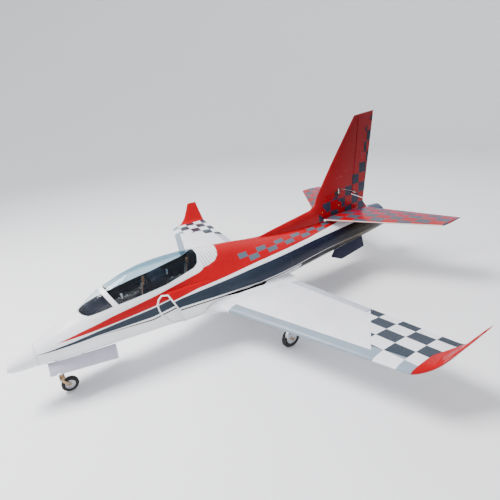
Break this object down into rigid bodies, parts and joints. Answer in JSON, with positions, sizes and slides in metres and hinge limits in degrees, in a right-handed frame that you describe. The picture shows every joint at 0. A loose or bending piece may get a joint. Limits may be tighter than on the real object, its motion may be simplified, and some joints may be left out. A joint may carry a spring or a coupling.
{
  "type": "rc jet plane",
  "caption": "Radio-controlled jet trainer with a tandem canopy, swept tail, curled wing tips and retractable trailing-link wheels.",
  "frame": {"origin": "on the ground under the middle of the aircraft", "axes": "nose to -Y, tail to +Y, the aircraft's left wing to +X, fin up +Z"},
  "size_m": [2.0052, 2.016, 0.886],
  "materials": {
    "shell_white": "clean white gloss over a moulded shell",
    "wing_white": "sheeted wing, white gloss with grey strips and checks",
    "red_paint": "red gloss with grey checks",
    "slate_paint": "slate gloss",
    "navy_paint": "dark navy gloss",
    "cockpit_black": "matt black moulding",
    "tan_leather": "tan seat covers with black bolsters",
    "glazing": "clear, faintly blue canopy",
    "alloy": "machined",
    "thrust_metal": "satin metal with a heat tint",
    "steel": "bright",
    "retract_metal": "hard anodised",
    "bronze": "bronze anodised",
    "tyre_rubber": "black",
    "white_nylon": "moulded",
    "carbon": "black",
    "tank_nylon": "translucent",
    "pack_blue": "wrapped cells"
  },
  "bodies": {
    "airframe": {"fuselage_shell": "shell_white", "nose_cone": "shell_white", "tail_cone": "slate_paint", "intake_cheek_left": "shell_white", "intake_cheek_right": "shell_white", "cockpit_tub": "cockpit_black", "instrument_hood": "cockpit_black", "seat_front": "tan_leather", "seat_rear": "tan_leather", "stick_front": "alloy", "stick_rear": "alloy", "wing_left": "wing_white", "wing_right": "wing_white", "winglet_left": "red_paint", "winglet_right": "red_paint", "stab_left": "red_paint", "stab_right": "red_paint", "ventral_fin_left": "navy_paint", "ventral_fin_right": "navy_paint", "main_retract_left": "alloy", "main_retract_right": "alloy", "fin": "red_paint", "rudder_servo": "carbon", "nose_retract": "retract_metal", "turbine_case": "thrust_metal", "tail_pipe": "thrust_metal", "fuel_tank": "tank_nylon", "battery": "pack_blue", "receiver": "carbon", "wing_tube": "carbon", "stab_tube": "carbon"},
    "canopy": {"canopy_frame": "shell_white", "windscreen_glass": "glazing", "canopy_glass": "glazing"},
    "rotor": {"turbine_rotor": "alloy"},
    "rudder": {"rudder": "red_paint", "rudder_horn": "white_nylon"},
    "servo_arm": {"rudder_servo_arm": "white_nylon"},
    "pushrod": {"rudder_pushrod": "steel"},
    "nose_leg": {"nose_leg": "alloy"},
    "nose_fork": {"nose_fork": "bronze"},
    "nose_arm": {"nose_arm": "bronze"},
    "nose_wheel": {"nose_hub": "alloy", "nose_tyre": "tyre_rubber"},
    "flap_left": {"flap_left": "wing_white"},
    "aileron_left": {"aileron_left": "wing_white"},
    "elevator_left": {"elevator_left": "red_paint"},
    "main_leg_left": {"main_leg_left": "alloy"},
    "main_arm_left": {"main_arm_left": "bronze"},
    "main_wheel_left": {"main_hub_left": "alloy", "main_tyre_left": "tyre_rubber"},
    "nose_door_left": {"nose_door_left": "shell_white"},
    "flap_right": {"flap_right": "wing_white"},
    "aileron_right": {"aileron_right": "wing_white"},
    "elevator_right": {"elevator_right": "red_paint"},
    "main_leg_right": {"main_leg_right": "alloy"},
    "main_arm_right": {"main_arm_right": "bronze"},
    "main_wheel_right": {"main_hub_right": "alloy", "main_tyre_right": "tyre_rubber"},
    "nose_door_right": {"nose_door_right": "shell_white"}
  },
  "joints": [
    {"name": "canopy_hinge", "type": "hinge", "parent": "airframe", "child": "canopy", "pos_m": [0, -0.1295, 0.4195], "axis": [-1, 0, 0], "range_deg": [0, 65]},
    {"name": "turbine_spin", "type": "hinge", "parent": "airframe", "child": "rotor", "pos_m": [0, 0.224, 0.262], "axis": [0, 1, 0], "continuous": true},
    {"name": "flap_left", "type": "hinge", "parent": "airframe", "child": "flap_left", "pos_m": [0.3965, 0.16462, 0.20324], "axis": [-0.9904, -0.1373, -0.0163], "range_deg": [0, 35]},
    {"name": "aileron_left", "type": "hinge", "parent": "airframe", "child": "aileron_left", "pos_m": [0.695, 0.20599, 0.20817], "axis": [-0.9904, -0.1373, -0.0163], "range_deg": [-25, 25]},
    {"name": "elevator_left", "type": "hinge", "parent": "airframe", "child": "elevator_left", "pos_m": [0.26, 0.84542, 0.37297], "axis": [-0.9292, -0.3694, -0.008], "range_deg": [-15, 15]},
    {"name": "flap_right", "type": "hinge", "parent": "airframe", "child": "flap_right", "pos_m": [-0.3965, 0.16462, 0.20324], "axis": [-0.9904, 0.1373, 0.0163], "range_deg": [0, 35]},
    {"name": "aileron_right", "type": "hinge", "parent": "airframe", "child": "aileron_right", "pos_m": [-0.695, 0.20599, 0.20817], "axis": [-0.9904, 0.1373, 0.0163], "range_deg": [-25, 25]},
    {"name": "elevator_right", "type": "hinge", "parent": "airframe", "child": "elevator_right", "pos_m": [-0.26, 0.84542, 0.37297], "axis": [-0.9292, 0.3694, 0.008], "range_deg": [-15, 15]},
    {"name": "rudder", "type": "hinge", "parent": "airframe", "child": "rudder", "pos_m": [0, 0.74834, 0.48], "axis": [0, 0.1, 0.995], "range_deg": [-25, 25]},
    {"name": "rudder_servo_arm", "type": "hinge", "parent": "airframe", "child": "servo_arm", "pos_m": [0.017, 0.638, 0.4925], "axis": [1, 0, 0], "range_deg": [-32, 32]},
    {"name": "rudder_pushrod", "type": "slide", "parent": "airframe", "child": "pushrod", "axis": [0, 1, 0], "range_m": [-0.0135, 0.0135]},
    {"name": "nose_retract", "type": "hinge", "parent": "airframe", "child": "nose_leg", "pos_m": [0, -0.853, 0.197], "axis": [1, 0, 0], "range_deg": [0, 88]},
    {"name": "nose_steering", "type": "hinge", "parent": "nose_leg", "child": "nose_fork", "pos_m": [0, -0.853, 0.08], "axis": [0, 0, 1], "range_deg": [-25, 25]},
    {"name": "nose_trailing_link", "type": "hinge", "parent": "nose_fork", "child": "nose_arm", "pos_m": [0, -0.86, 0.071], "axis": [1, 0, 0], "range_deg": [0, 10], "stiffness_Nm_per_rad": 8, "springref_deg": -14.32},
    {"name": "nose_wheel", "type": "hinge", "parent": "nose_arm", "child": "nose_wheel", "pos_m": [0, -0.835, 0.032], "axis": [1, 0, 0], "continuous": true},
    {"name": "main_retract_left", "type": "hinge", "parent": "airframe", "child": "main_leg_left", "pos_m": [0.368, -0.0205, 0.186], "axis": [0, 1, 0], "range_deg": [0, 90]},
    {"name": "main_trailing_link_left", "type": "hinge", "parent": "main_leg_left", "child": "main_arm_left", "pos_m": [0.368, -0.023, 0.074], "axis": [1, 0, 0], "range_deg": [0, 8], "stiffness_Nm_per_rad": 20, "springref_deg": -20.05},
    {"name": "main_wheel_left", "type": "hinge", "parent": "main_arm_left", "child": "main_wheel_left", "pos_m": [0.348, 0.008, 0.046], "axis": [1, 0, 0], "continuous": true},
    {"name": "nose_door_left", "type": "hinge", "parent": "airframe", "child": "nose_door_left", "pos_m": [0.045, -0.886, 0.184], "axis": [0.0479, 0.9946, -0.0919], "range_deg": [0, 100]},
    {"name": "main_retract_right", "type": "hinge", "parent": "airframe", "child": "main_leg_right", "pos_m": [-0.368, -0.0205, 0.186], "axis": [0, -1, 0], "range_deg": [0, 90]},
    {"name": "main_trailing_link_right", "type": "hinge", "parent": "main_leg_right", "child": "main_arm_right", "pos_m": [-0.368, -0.023, 0.074], "axis": [1, 0, 0], "range_deg": [0, 8], "stiffness_Nm_per_rad": 20, "springref_deg": -20.05},
    {"name": "main_wheel_right", "type": "hinge", "parent": "main_arm_right", "child": "main_wheel_right", "pos_m": [-0.348, 0.008, 0.046], "axis": [1, 0, 0], "continuous": true},
    {"name": "nose_door_right", "type": "hinge", "parent": "airframe", "child": "nose_door_right", "pos_m": [-0.045, -0.886, 0.184], "axis": [0.0479, -0.9946, 0.0919], "range_deg": [0, 100]}
  ],
  "couplings": [
    {"joint": "flap_right", "follows": "flap_left", "ratio": 1},
    {"joint": "aileron_right", "follows": "aileron_left", "ratio": -1},
    {"joint": "elevator_right", "follows": "elevator_left", "ratio": 1},
    {"joint": "rudder_servo_arm", "follows": "rudder", "ratio": -1.25},
    {"joint": "rudder_pushrod", "follows": "rudder", "m_per_rad": 0.03},
    {"joint": "main_retract_left", "follows": "nose_retract", "ratio": 1.0222},
    {"joint": "main_retract_right", "follows": "nose_retract", "ratio": 1.0222},
    {"joint": "nose_door_right", "follows": "nose_door_left", "ratio": 1}
  ]
}
